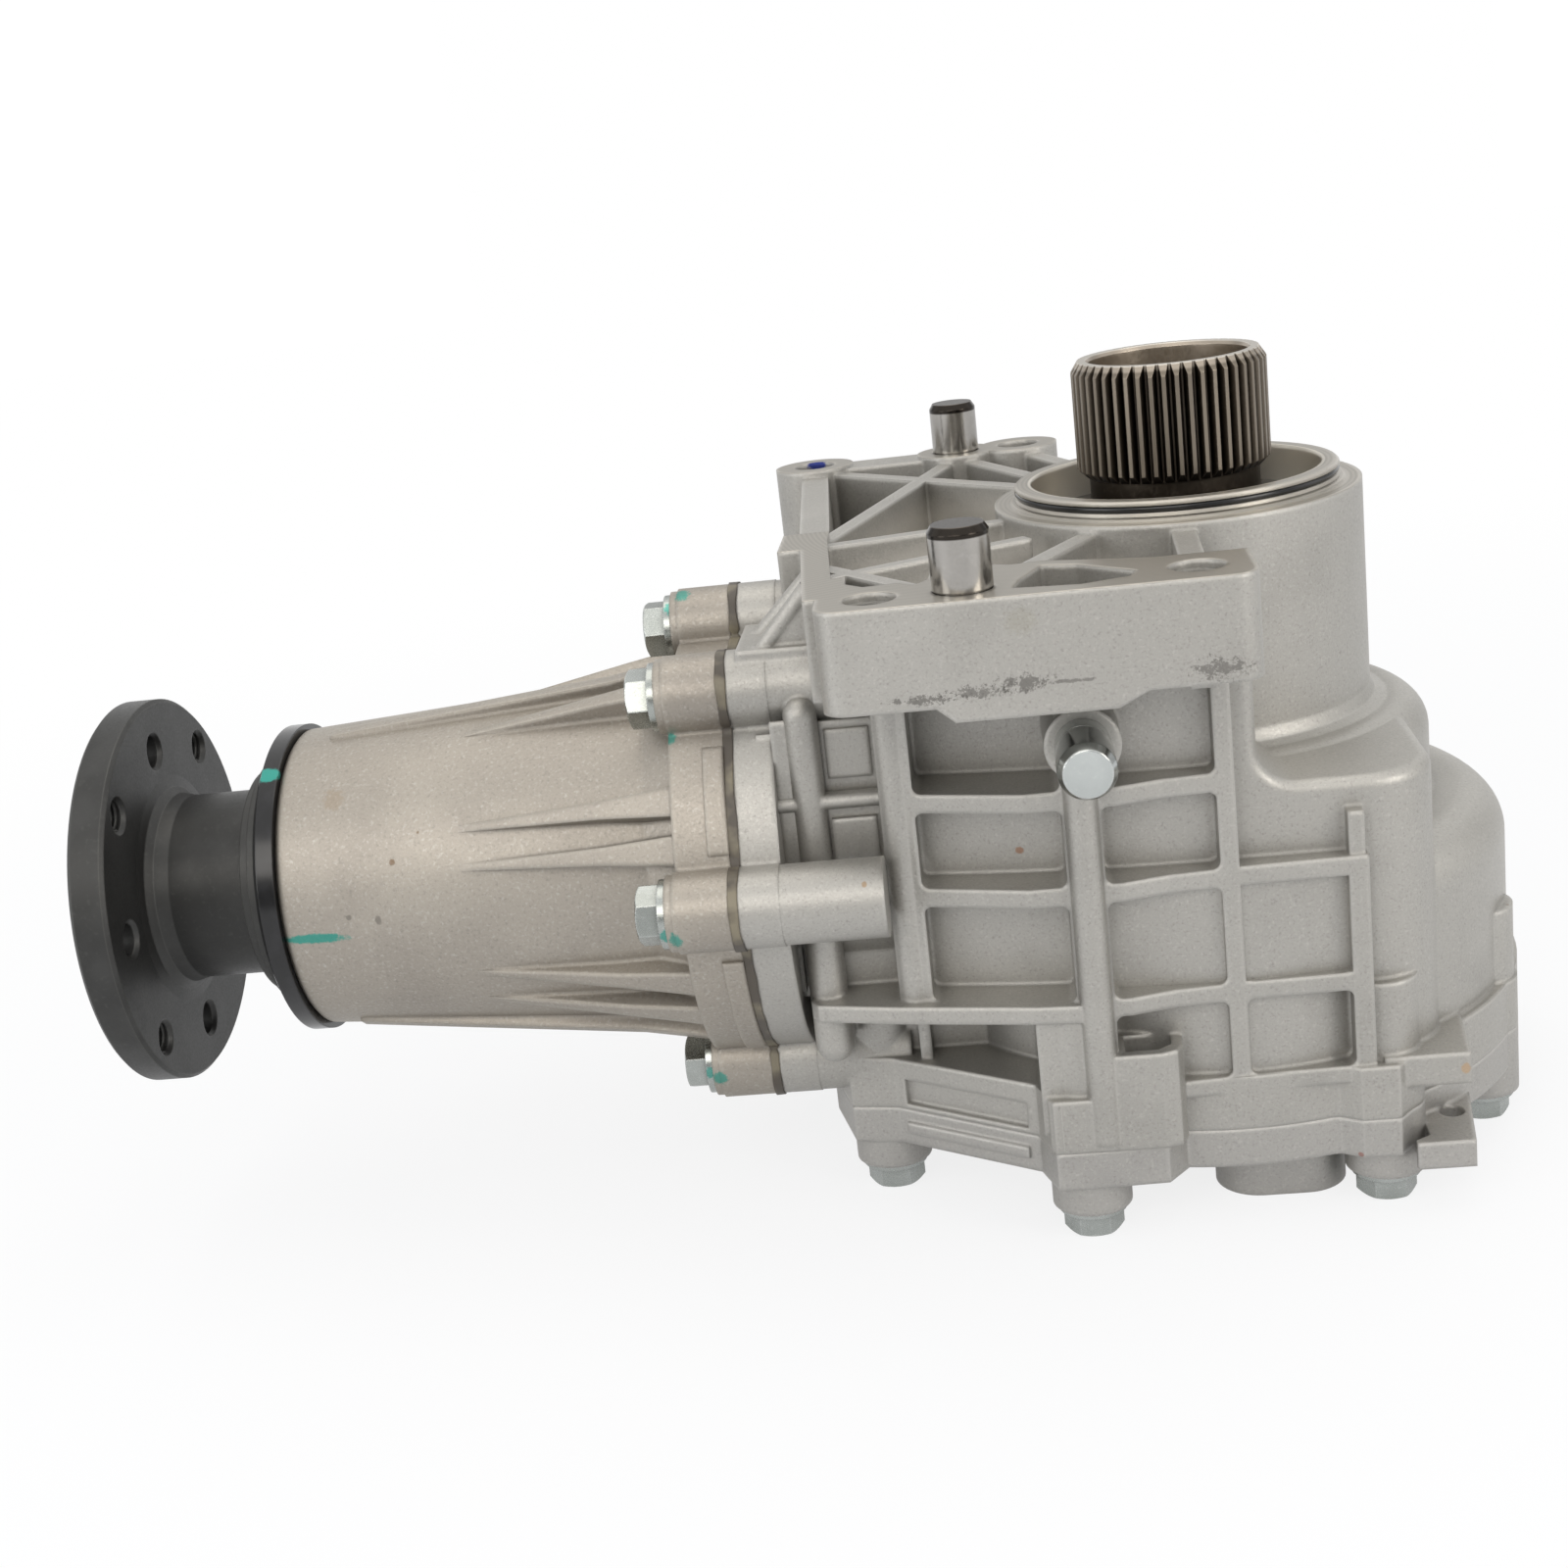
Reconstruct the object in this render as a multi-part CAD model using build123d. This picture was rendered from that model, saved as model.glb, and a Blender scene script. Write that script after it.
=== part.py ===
from build123d import *
import math
import os

os.makedirs("parts", exist_ok=True)

# Frame. Origin: centre of the input spigot on the mating plane. +Z: input shaft, out of the spigot.
# +X: away from the output flange. -Y: the ribbed side of the case.
PINION_Y = -28.0
PINION_Z = -77.5
PINION = Location(Plane(origin=(0, PINION_Y, PINION_Z), x_dir=(0, 1, 0), z_dir=(1, 0, 0)))

# Fits
RUN = 0.05
HOLE_FIT = 0.4

# Input spigot and seal bore
SPIGOT_R = 42.0
SPIGOT_TOP = 4.8
SPIGOT_WALL = 4.3
SPIGOT_FOOT_R = SPIGOT_R + 1.2
SPIGOT_FOOT_TOP = 0.6
SPIGOT_BORE_R = SPIGOT_R - SPIGOT_WALL
SPIGOT_UNDERCUT = 0.9
UNDERCUT = 0.4
O_RING_R = 0.9
O_RING_Z = 2.8
O_RING_CENTRE_R = SPIGOT_R - O_RING_R - 0.02
SEAL_BORE_BOTTOM = -17.0

# Input shaft
SPLINE_TEETH = 48
SPLINE_R = 25.0
SPLINE_ROOT_R = 22.9
SPLINE_TOP = 35.4
SPLINE_BOTTOM = 5.6
SHAFT_BORE_R = 19.0
SHAFT_MOUTH_R = 20.6
SEAL_LAND_R = 22.0
BEARING_SEAT_R = 25.0
SHAFT_TUBE_R = BEARING_SEAT_R + 1.5
BEARING_R = 1.6 * BEARING_SEAT_R
BEARING_WIDTH = 18.0
BALLS = 12
BALL_R = 0.28 * (BEARING_R - BEARING_SEAT_R)
RACE_LAND = 0.15 * (BEARING_R - BEARING_SEAT_R)
CARRIER_R = 51.0
CARRIER_TOP = -122.0
CARRIER_BOTTOM = -132.0

# Hypoid pair. The two cones share the apex (0, PINION_Y, PINION_Z).
RING_TEETH = 34
PINION_TEETH = 13
PITCH_SLOPE = PINION_TEETH / RING_TEETH
FACE_IN = 45.0
FACE_OUT = 67.0
RING_OUT_R = 72.5
RING_BORE_R = 38.0
RING_SHELF_R = 50.0
RING_SHELF_Z = -113.0
RING_BOLT_CIRCLE_R = 44.0
RING_BOLTS = 8

# Chamber shells
BOSS_R = SPIGOT_R + 5.5
SHOULDER_R = 62.0
SHOULDER_TOP = -58.0
CHAMBER_R = 80.5
CHAMBER_TOP = -84.0
CHAMBER_WALL = 5.0
SKIRT_R = 83.0
PARTING_Z = -145.0
TUNNEL_R = 38.0
BARREL_R = TUNNEL_R + 4.0
TUNNEL_SHOULDER_X = -77.0
HEAD_ROOM_R = 31.0

# Joint between the case and the pinion housing
JOINT_X = -117.0
SEAM = 0.8
JOINT_CASE_THICK = 11.0
JOINT_HOUSING_THICK = 14.0
JOINT_DISC_R = 55.0
JOINT_BOLT_R = 58.0
JOINT_LOBE_R = 10.0
JOINT_POST_R = 9.8
JOINT_POST_END = 36.0
JOINT_ANGLES = (80, 122, 178, 252, 300, 348, 36)

# Pinion housing
HOUSING_END_X = -237.0
HOUSING_END_R = 40.0
HOUSING_ROOT_R = 46.5
HOUSING_SEAM_ANGLES = (98, 236)
HOUSING_RIB_ANGLES = (12, 62, 112, 150, 163, 202, 216, 275, 325)
TAIL_BORE_R = 31.0
TAIL_SEAT_X = -216.0
SEAL_POCKET_R = 34.0

# Pinion shaft line
HEAD_BACK_X = -75.5
SHIM = 1.5
HEAD_BEARING_WIDTH = 22.0
HEAD_SEAT_R = 17.5
TAIL_SEAT_R = 15.0
TAIL_BEARING_WIDTH = 18.0
STEM_R = 14.0
THREAD_R = 10.0
STEM_END_X = -285.0

# Companion flange
FLANGE_R = 52.0
FLANGE_THICK = 9.7
FLANGE_FACE_X = -277.4
HUB_R = 25.0
FLANGE_PLAIN_CIRCLE_R = 39.0
FLANGE_PLAIN_R = 4.3
FLANGE_TAPPED_CIRCLE_R = 44.0
FLANGE_TAPPED_R = 4.0

# Mating face bolts and dowels
MOUNT_HOLE_R = 6.25
FRONT_LEFT = (-77.0, -98.0)
FRONT_RIGHT = (-4.0, -96.0)
BACK_LEFT = (-102.0, 99.0)
BACK_MID = (-39.0, 102.0)
FRONT_DOWEL = (-56.0, -97.0)
BACK_DOWEL = (-58.0, 100.0)
DOWEL_R = 7.0
DOWEL_TOP = 15.0
DOWEL_DEPTH = 16.0
SLAB_FRONT_Y = -109.0
SLAB_DEPTH = 24.0

# Ribbed side: upright ribs by x, level ribs by z, with half their thickness
UPRIGHTS = ((-98.0, 4.0), (-77.0, 4.2), (-33.5, 4.5), (0.5, 2.2), (30.5, 2.3))
LEVELS = ((-24.0, 1.0), (-55.0, 2.3), (-79.0, 2.3), (-108.5, 2.2), (-133.0, 2.2))
LEDGE_Z = -59.0

# Cover
CASE_LIP = 14.0
SHELF_Z = -108.5
COVER_PLATE = 10.0
COVER_FLOOR_Z = -167.0
DRIVE_SEAL_R = 33.0
DRIVE_SEAL_DEPTH = 6.5
COVER_BOLT_SPOTS = ((-89, -46), (-38, -79), (36, -70), (68, -30), (76, 32), (42, 75), (-12, 86), (-60, 74),
                    (-92, 34))

# Bolts, M8 with a hexagon and a collar
BOLT_R = 4.0
BOLT_HEX = 13.0
BOLT_HEAD = 7.6
COVER_SEAT_Z = PARTING_Z - COVER_PLATE - 8
REST_Z = COVER_SEAT_Z - BOLT_HEAD
COLLAR_R = 8.6
COLLAR = 1.8


def turned(points, place=Location()):
    """A solid of revolution from (radius, height) points about its own Z."""
    line = Polyline(*[(r, 0, s) for r, s in points], close=True)
    return place * revolve(make_face(line), Axis.Z)


def tube(outer, inner, low, high, place=Location()):
    return turned([(inner, low), (outer, low), (outer, high), (inner, high)], place)


def rod(radius, low, high, place=Location()):
    return place * Pos(0, 0, (low + high) / 2) * Cylinder(radius, high - low)


def block(x0, x1, y0, y1, z0, z1):
    return Pos((x0 + x1) / 2, (y0 + y1) / 2, (z0 + z1) / 2) * Box(x1 - x0, y1 - y0, z1 - z0)


def plate(points, low, high):
    """A flat plan outline raised from one height to another."""
    face = make_face(Polyline(*[(x, y, low) for x, y in points], close=True))
    return extrude(face, amount=high - low, dir=(0, 0, 1))


def post(spot, radius, low, high):
    return Pos(spot[0], spot[1], (low + high) / 2) * Cylinder(radius, high - low)


def wall(start, end, thick, low, high):
    """An upright rib between two plan points."""
    span = math.dist(start, end)
    turn = math.degrees(math.atan2(end[1] - start[1], end[0] - start[0]))
    middle = ((start[0] + end[0]) / 2, (start[1] + end[1]) / 2, (low + high) / 2)
    return Pos(*middle) * Rot(0, 0, turn) * Box(span, thick, high - low)


def round_top(body, radius):
    return fillet(body.edges().group_by(Axis.Z)[-1], radius)


def toothed(count, tip, root, tip_share, root_share, turn=0.0):
    """Plan points of a toothed outline; the shares are of one pitch."""
    points = []
    pitch = 2 * math.pi / count
    for i in range(count):
        centre = i * pitch + math.radians(turn)
        for radius, share in ((root, -root_share), (tip, -tip_share), (tip, tip_share), (root, root_share)):
            angle = centre + share * pitch / 2
            points.append((radius * math.cos(angle), radius * math.sin(angle)))
    return points


def joint_spots():
    return [
        (JOINT_BOLT_R * math.cos(math.radians(a)), JOINT_BOLT_R * math.sin(math.radians(a)))
        for a in JOINT_ANGLES
    ]


def lobed(low, high):
    """The lobed joint flange about the pinion axis."""
    body = rod(JOINT_DISC_R, low, high)
    for x, y in joint_spots():
        body += Pos(x, y, (low + high) / 2) * Cylinder(JOINT_LOBE_R, high - low)
        reach = JOINT_BOLT_R - 10
        angle = math.degrees(math.atan2(y, x))
        body += Rot(0, 0, angle) * Pos(reach, 0, (low + high) / 2) * Box(20, 1.7 * JOINT_LOBE_R, high - low)
    return body


def skirt(low, high):
    """Plan of the bottom joint: the round chamber, a chamfered corner and two bolt noses."""
    left = [(-104, 36), (-104, -34), (-98, -55), (-86, -57), (-50, -79), (-46, -90)]
    nose = [(-19, -89), (-13, -81), (24, -80), (29, -83), (38, -83), (45, -74)]
    back = [(45, 60), (30, 70), (-30, 85), (-66, 76)]
    body = plate(left + nose + back, low, high)
    body += rod(SKIRT_R, low, high)
    return body + [post(spot, 10.0, low, high) for spot in COVER_BOLT_SPOTS]


def ribbed_side():
    """The side wall towards -Y: a curved floor with a grid of ribs standing on it."""
    face = [(-81, -20), (-81, -77.5), (-47, -87), (-25, -87), (-14, -84), (2.7, -82.5), (2.7, -20)]
    low = PARTING_Z + 10
    body = plate(face, low, -20)
    right = [(0, -20), (0, -82.5), (33, -81.5), (33, -20)]
    body += plate(right, low, LEVELS[2][0] + LEVELS[2][1])
    body += ledge()
    floor = make_face(
        [
            ThreePointArc((-104, -61, 0), (-25, -76, 0), (34, -74.5, 0)),
            Polyline((34, -74.5, 0), (34, -95, 0), (-104, -95, 0), (-104, -61, 0)),
        ]
    )
    for (xa, ta), (xb, tb) in zip(UPRIGHTS[1:], UPRIGHTS[2:]):
        for (za, sa), (zb, sb) in zip(LEVELS, LEVELS[1:]):
            if xb > 20 and zb > -100 or xb < -20 and zb < -120:
                continue
            deep = -6 if zb > -60 and xb < -20 else 0
            cell = Pos(0, -deep, zb + sb) * extrude(floor, amount=za - sa - zb - sb, dir=(0, 0, 1))
            body -= rounded_cell(cell & block(xa + ta, xb - tb, -100, -30, zb + sb, za - sa))
    body -= block(UPRIGHTS[3][0] + UPRIGHTS[3][1], UPRIGHTS[4][0] - UPRIGHTS[4][1], -100, -75.2, -106.1,
                  -81.3)
    body += block(28.6, 32.4, -80.5, -60, LEVELS[3][0], -66)
    body -= block(-90, -48.5, -100, -50, PARTING_Z, SHELF_Z - 2)
    column = UPRIGHTS[2][0]
    body += Pos(column, -87.5, -97) * Cylinder(4.0, 92)
    upright = UPRIGHTS[1][0]
    body += Pos(upright, -75.5, (SHELF_Z - 24) / 2) * Cylinder(4.2, -24 - SHELF_Z)
    return body


def rounded_cell(cell):
    """A cell's cutter with its four long corners rounded."""
    return fillet(cell.edges().filter_by(Axis.Y), 2.0)


def ledge():
    """The wall under the slab's right end, whose edge sweeps round into a ledge."""
    front = -76.0
    plan = make_face(
        [
            Polyline((52, -58, 0), (52, -20, 0), (0, -20, 0), (0, front, 0), (35, front, 0)),
            ThreePointArc((35, front, 0), (47, -70.5, 0), (52, -58, 0)),
        ]
    )
    edge = make_face(
        [
            Polyline((9, 0, LEDGE_Z + 9), (9, 0, -20), (-2, 0, -20), (-2, 0, PARTING_Z), (60, 0, PARTING_Z),
                     (60, 0, LEDGE_Z)),
            Line((60, 0, LEDGE_Z), (18, 0, LEDGE_Z)),
            ThreePointArc((18, 0, LEDGE_Z), (11.6, 0, LEDGE_Z + 2.6), (9, 0, LEDGE_Z + 9)),
        ]
    )
    body = Pos(0, 0, PARTING_Z + 10) * extrude(plan, amount=-20 - PARTING_Z - 10, dir=(0, 0, 1))
    body &= Pos(0, front - 1, 0) * extrude(edge, amount=60, dir=(0, 1, 0))
    outer = body.edges().filter_by_position(Axis.Y, front - 0.01, front + 0.01)
    outer = outer.filter_by_position(Axis.Z, LEDGE_Z - 0.01, -20.01, inclusive=(True, False))
    return fillet(outer.filter_by_position(Axis.X, 8.9, 60), 3.0)


def shelf():
    """A long shelf low on the ribbed side, with a bolt post and a thin rib under it."""
    plan = [(-103.5, -50), (-103.5, -74), (-101.5, -77), (-81, -82), (-47, -88.5), (-36, -89.5), (-32, -86),
            (-32, -50)]
    body = plate(plan, SHELF_Z - 2.2, SHELF_Z + 2.2)
    body += block(-78.5, -75.5, -59, -50, PARTING_Z + CASE_LIP - 2, SHELF_Z)
    body += block(-103, -95, -67, -50, -124, SHELF_Z)
    return body


def front_slab():
    """The bolt slab: a deep front wall, bosses round the holes and dowel, and pockets behind."""
    left = FRONT_LEFT[0] - 12.5
    right = FRONT_RIGHT[0] + 12.5
    body = block(left, right, SLAB_FRONT_Y, -72, -SLAB_DEPTH, 0)
    edges = body.edges().filter_by(Axis.Z).group_by(Axis.Y)[0]
    body = fillet(edges, 6.0)
    lower = Polyline((-64, 0, -SLAB_DEPTH), (-60, 0, -SLAB_DEPTH - 3.5), (-24, 0, -SLAB_DEPTH - 3.5),
                     (-17, 0, -SLAB_DEPTH), close=True)
    body += Pos(0, SLAB_FRONT_Y, 0) * extrude(make_face(lower), amount=29, dir=(0, 1, 0))
    middle = [(-45, -101), (-43, -92), (-38, -80), (-30, -83), (-17.5, -95), (-19, -100), (-30, -103.5)]
    behind = [(-60, -68), (-45, -76), (-38, -75), (-12, -83), (12, -83), (12, -68)]
    side = [(-84, -64), (-83.5, -80), (-79, -85), (-71, -84), (-67, -88), (-64, -83), (-63, -64)]
    for pocket in (middle, behind, side):
        body -= plate(pocket, -20, 1)
    return body


def web():
    """Open grid of ribs under the mating face, between the bolt bosses and the spigot boss."""
    corner = (-94.5, -22.0)
    shoulder = (-89.0, -94.0)
    spots = [BACK_LEFT, BACK_MID, BACK_DOWEL]
    body = plate([(-100, -60), (-100, 0), (-112, 60), (-112, 96), (-30, 100), (-6, 40), (-6, -60)], -46, -22)
    for spot in spots:
        body += post(spot, 12.0, -46, 0)
    for spot, radius in ((FRONT_RIGHT, 11.5), (FRONT_DOWEL, 10.0)):
        body += post(spot, radius, -SLAB_DEPTH, 0)
    body += wall(BACK_LEFT, BACK_MID, 14, -46, -1)
    runs = (
        (BACK_LEFT, corner, 8),
        (BACK_LEFT, (0, 0), 5),
        (BACK_DOWEL, corner, 4.5),
        (BACK_MID, (-5, 20), 5),
        (corner, (0, 0), 5),
        (FRONT_DOWEL, (-20, -30), 5),
        (FRONT_RIGHT, (-2, -30), 6),
        (FRONT_DOWEL, (-91, -48), 4.5),
        ((-91, -62), (-40, -36), 4.5),
        (BACK_DOWEL, (-25, 30), 4.5),
    )
    for start, end, thick in runs:
        body += wall(start, end, thick, -30, -2)
    body += wall(corner, shoulder, 7, -24, 0)
    body += block(-103, -91, -34, -12, -46, 0)
    return body


def gussets():
    """Two sloping ribs from the joint flange up to the left wall of the web, on a ledge."""
    foot = JOINT_X + 8
    body = block(JOINT_X + 4, -90, -64.5, -36, -26, -17.5)
    for y, low, thick in ((-62, -21, 3.0), (-46, -19, 3.0)):
        line = Polyline((foot, y, low), (-94, y, -4), (-90, y, -4), (-90, y, -30), (foot, y, -30), close=True)
        body += extrude(make_face(line), amount=thick, dir=(0, 1, 0))
        slope = math.degrees(math.atan2(-4 - low, -94 - foot))
        reach = math.dist((foot, low), (-94, -4))
        rim = Pos((foot - 94) / 2, y + thick / 2, (low - 4) / 2) * Rot(0, 90 - slope, 0)
        body += rim * Cylinder(2.2, reach)
    return body


def breather_seat(low, high, radius):
    spot = Location(Plane(origin=(-32, 0, -41), x_dir=(1, 0, 0), z_dir=(0, -1, 0)))
    return rod(radius, low, high, spot)


def case_outside():
    body = round_top(rod(CHAMBER_R, PARTING_Z, CHAMBER_TOP), 12.0)
    body += round_top(rod(SHOULDER_R, CHAMBER_TOP - 4, SHOULDER_TOP), 9.0)
    body += rod(BOSS_R, SHOULDER_TOP - 4, 0)
    body += turned([(BOSS_R - 4, SHOULDER_TOP - 3), (BOSS_R + 4, SHOULDER_TOP - 3),
                    (BOSS_R + 4, SHOULDER_TOP),
                    (BOSS_R + 1.2, SHOULDER_TOP + 1.2), (BOSS_R, SHOULDER_TOP + 4),
                    (BOSS_R - 4, SHOULDER_TOP + 4)])
    body += rod(BARREL_R, JOINT_X + SEAM, -40, PINION)
    body += ribbed_side()
    body += block(-104, -40, -52, 44, -134, -30)
    body += shelf()
    body += PINION * lobed(JOINT_X + SEAM, JOINT_X + JOINT_CASE_THICK)
    for x, y in joint_spots():
        body += PINION * Pos(x, y, 0) * rod(JOINT_POST_R, JOINT_X + 4, JOINT_X + JOINT_POST_END)
    body += front_slab() + web() + gussets()
    body += skirt(PARTING_Z, PARTING_Z + CASE_LIP)
    body += [post(spot, 9.2, PARTING_Z + 4, PARTING_Z + 34) for spot in COVER_BOLT_SPOTS]
    body += breather_seat(60, 90, 9.0)
    body += corner_boss() + joint_side_ribs()
    body += plate([(35, -80.5), (55.5, -80.5), (59.5, -40), (45, -50), (35, -60)], PARTING_Z + 7,
                  PARTING_Z + 15)
    return body - edge_recess(3.0, PARTING_Z + 1.5, PARTING_Z + 8.5)


def edge_recess(thick, low, high):
    """A strip along the chamfered edge of the bottom joint."""
    return wall((-83.5, -58.5), (-52.5, -77.5), thick, low, high)


def corner_boss():
    """The block at the foot of the wide upright rib, and a small open pocket beside it."""
    column = UPRIGHTS[2][0]
    body = block(-48.5, column, -87, -70, PARTING_Z + 4, SHELF_Z)
    foot = [(-49, -78), (-47, -88.5), (-44, -90), (column, -90), (column, -70), (-49, -70)]
    body += plate(foot, PARTING_Z, PARTING_Z + CASE_LIP)
    lobe = [(column, -70), (column, -90), (-19, -90), (-15.2, -88.6), (-13.5, -85), (-13.5, -70)]
    body += plate(lobe, PARTING_Z, PARTING_Z + 25)
    pocket = [(column + 6, -78), (column + 6, -87.2), (-19.5, -87.2), (-16.2, -84.5), (-16, -78)]
    return body - plate(pocket, PARTING_Z + 17, PARTING_Z + 30)


def joint_side_ribs():
    """The wall between the joint and the ribbed side, with round ribs and raised pads."""
    wall_y = -65.0
    body = block(-112, -78, wall_y, -50, SHELF_Z, -28)
    body += Pos(-98.5, -70, -52.5) * Cylinder(4.1, 39) + Pos(-98.5, -70, -33) * Sphere(4.1)
    body += Pos(-99.3, -69.0, -103) * Cylinder(4.8, 34) + Pos(-99.3, -69.0, -120) * Sphere(4.8)
    body += Pos(-96, -71, -55.3) * Rot(0, 90, 0) * Cylinder(1.9, 32)
    body += block(-112, -78, -71, -60, -56.6, -54.0)
    for low, high, proud in ((-50.5, -38.0, 3), (-70.5, -60.0, 5.8)):
        body += block(-93.5, -82.5, wall_y - proud, wall_y + 1, low, high)
        body += block(-110, -104.5, wall_y - proud + 0.6, wall_y + 1, low, high)
    body += block(-110.5, -105, wall_y - 3, wall_y + 1, -106, -93)
    return body


def case_inside():
    """Everything bored or cored out of the case."""
    cut = rod(CHAMBER_R - CHAMBER_WALL, PARTING_Z - 1, CHAMBER_TOP - 5)
    cut += rod(SHOULDER_R - 8, PARTING_Z, SHOULDER_TOP - 8)
    cut += rod(BEARING_R, -70, SEAL_BORE_BOTTOM)
    cut += rod(SPIGOT_BORE_R, -30, SPIGOT_TOP + 1)
    cut += rod(TUNNEL_R, JOINT_X - 1, TUNNEL_SHOULDER_X, PINION)
    cut += rod(HEAD_ROOM_R, TUNNEL_SHOULDER_X - 1, -30, PINION)
    return cut


def main_case():
    body = case_outside()
    neck = SPIGOT_R - SPIGOT_UNDERCUT
    body += turned([(0, -1), (SPIGOT_FOOT_R, -1), (SPIGOT_FOOT_R, SPIGOT_FOOT_TOP), (neck, SPIGOT_FOOT_TOP),
                    (neck, SPIGOT_FOOT_TOP + UNDERCUT), (SPIGOT_R, SPIGOT_FOOT_TOP + UNDERCUT),
                    (SPIGOT_R, SPIGOT_TOP - 0.6), (SPIGOT_R - 0.6, SPIGOT_TOP), (0, SPIGOT_TOP)])
    body -= case_inside()
    body -= tube(SPIGOT_R + 2, O_RING_CENTRE_R - O_RING_R, O_RING_Z - O_RING_R, O_RING_Z + O_RING_R)
    for spot in (FRONT_LEFT, FRONT_RIGHT, BACK_LEFT, BACK_MID):
        body -= post(spot, MOUNT_HOLE_R, -60, 1)
    for spot in (FRONT_DOWEL, BACK_DOWEL):
        body -= post(spot, DOWEL_R, -DOWEL_DEPTH, 1)
    for x, y in joint_spots():
        body -= PINION * Pos(x, y, 0) * rod(BOLT_R, JOINT_X - 1, JOINT_X + 22)
    for spot in COVER_BOLT_SPOTS:
        body -= post(spot, BOLT_R, PARTING_Z - 1, PARTING_Z + 20)
    body -= breather_seat(72, 95, 5.0)
    return body


def housing_ribs():
    """Ribs on the pinion housing: two long seams, and short ones that flare into the joint flange."""
    body = Part()
    for angle in HOUSING_SEAM_ANGLES:
        seam = Polyline((HOUSING_ROOT_R - 8, 0, -128), (HOUSING_ROOT_R + 7, 0, -128),
                        (HOUSING_ROOT_R + 3, 0, -150),
                        (HOUSING_END_R + 1.6, 0, -226), (HOUSING_END_R - 6, 0, -228), close=True)
        body += Rot(0, 0, angle) * extrude(make_face(seam), amount=2.2, dir=(0, 1, 0), both=True)
    for angle in HOUSING_RIB_ANGLES:
        rib = loft(
            [
                Plane.XY.offset(-128) * Pos(HOUSING_ROOT_R + 1, 0) * Rectangle(14, 8),
                Plane.XY.offset(-150) * Pos(HOUSING_ROOT_R - 1, 0) * Rectangle(10.5, 4.5),
                Plane.XY.offset(-188) * Pos(HOUSING_ROOT_R - 6.5, 0) * Rectangle(6.6, 1.6),
            ],
            ruled=True,
        )
        body += Rot(0, 0, angle) * rib
    return body


def pinion_housing():
    end = HOUSING_END_X
    joint = JOINT_X - SEAM
    body = turned([(0, end), (HOUSING_END_R - 1, end), (HOUSING_END_R, end + 1), (HOUSING_ROOT_R, -140),
                   (HOUSING_ROOT_R + 4, -131), (HOUSING_ROOT_R + 4, joint), (0, joint)])
    body += housing_ribs()
    body += lobed(joint - JOINT_HOUSING_THICK, joint)
    for x, y in joint_spots():
        body += Pos(x, y, joint - JOINT_HOUSING_THICK - 1) * Cylinder(COLLAR_R + 0.8, 2)
    body += rod(TUNNEL_R, joint - 1, JOINT_X + 9)
    body -= rod(SEAL_POCKET_R, end - 1, end + 11)
    body -= rod(TAIL_BORE_R - 2, end, TAIL_SEAT_X + 1)
    body -= rod(TAIL_BORE_R, TAIL_SEAT_X, TAIL_SEAT_X + 30)
    body -= turned([(0, TAIL_SEAT_X + 18), (TAIL_BORE_R, TAIL_SEAT_X + 29), (34, -150), (34, JOINT_X + 10),
                    (0, JOINT_X + 10)])
    seat = joint - JOINT_HOUSING_THICK - 2
    for x, y in joint_spots():
        body -= Pos(x, y, joint - 10) * Cylinder(BOLT_R + HOLE_FIT, 40)
        body -= Pos(x, y, seat - 8) * Cylinder(COLLAR_R + 0.8, 16)
    return PINION * body


def seam_ring():
    """The bead of sealant squeezed between the case and the pinion housing."""
    body = lobed(JOINT_X - SEAM, JOINT_X + SEAM) - rod(TUNNEL_R, JOINT_X - 2, JOINT_X + 2)
    for x, y in joint_spots():
        body -= Pos(x, y, JOINT_X) * Cylinder(BOLT_R + HOLE_FIT, 4)
    return PINION * body


def case_cover():
    top = PARTING_Z
    body = skirt(top - COVER_PLATE, top)
    body += turned([(0, -150), (67, -150), (63, -159), (44, -160), (42, COVER_FLOOR_Z), (0, COVER_FLOOR_Z)])
    oval = Pos(11, -59, 0) * extrude(Plane.XY.offset(REST_Z) * SlotOverall(33, 22), amount=24)
    body += oval
    for spot in COVER_BOLT_SPOTS:
        body += post(spot, 10.0, top - COVER_PLATE - 8, top - COVER_PLATE)
    ear = [(45.4, -50), (45.4, -80), (41.5, -82.5), (41.5, -84.5), (55.5, -84.5), (60.5, -50)]
    body += plate(ear, -158.5, -151.5)
    body += edge_recess(1.6, -151.5, -148.5)
    body -= turned([(0, top + 1), (68.5, top + 1), (68.5, -147.5), (58, -153), (0, -153)])
    body += tube(BEARING_R + 4, BEARING_R - 6, -162, -142)
    body -= rod(BEARING_R, -160, -140)
    body -= rod(DRIVE_SEAL_R, COVER_FLOOR_Z - 1, COVER_FLOOR_Z + DRIVE_SEAL_DEPTH)
    body -= rod(30, -165, -150)
    body -= post((53, -68), 3.2, -170, -147)
    for spot in COVER_BOLT_SPOTS:
        body -= post(spot, BOLT_R + HOLE_FIT, -175, top + 1)
    return body


def cover_bolt(spot):
    """A collared hexagon bolt pointing up, its collar under the cover boss."""
    seat = COVER_SEAT_Z
    shape = Plane.XY.offset(seat - BOLT_HEAD)
    head = extrude(shape * RegularPolygon(BOLT_HEX / 2, 6, major_radius=False), amount=BOLT_HEAD)
    head &= turned([(0, seat), (9, seat), (9, seat - BOLT_HEAD + 1.4), (6.2, seat - BOLT_HEAD),
                    (0, seat - BOLT_HEAD)])
    head += rod(COLLAR_R, seat - COLLAR, seat)
    return Pos(spot[0], spot[1], 0) * (head + rod(BOLT_R, seat, PARTING_Z + 18))


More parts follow.
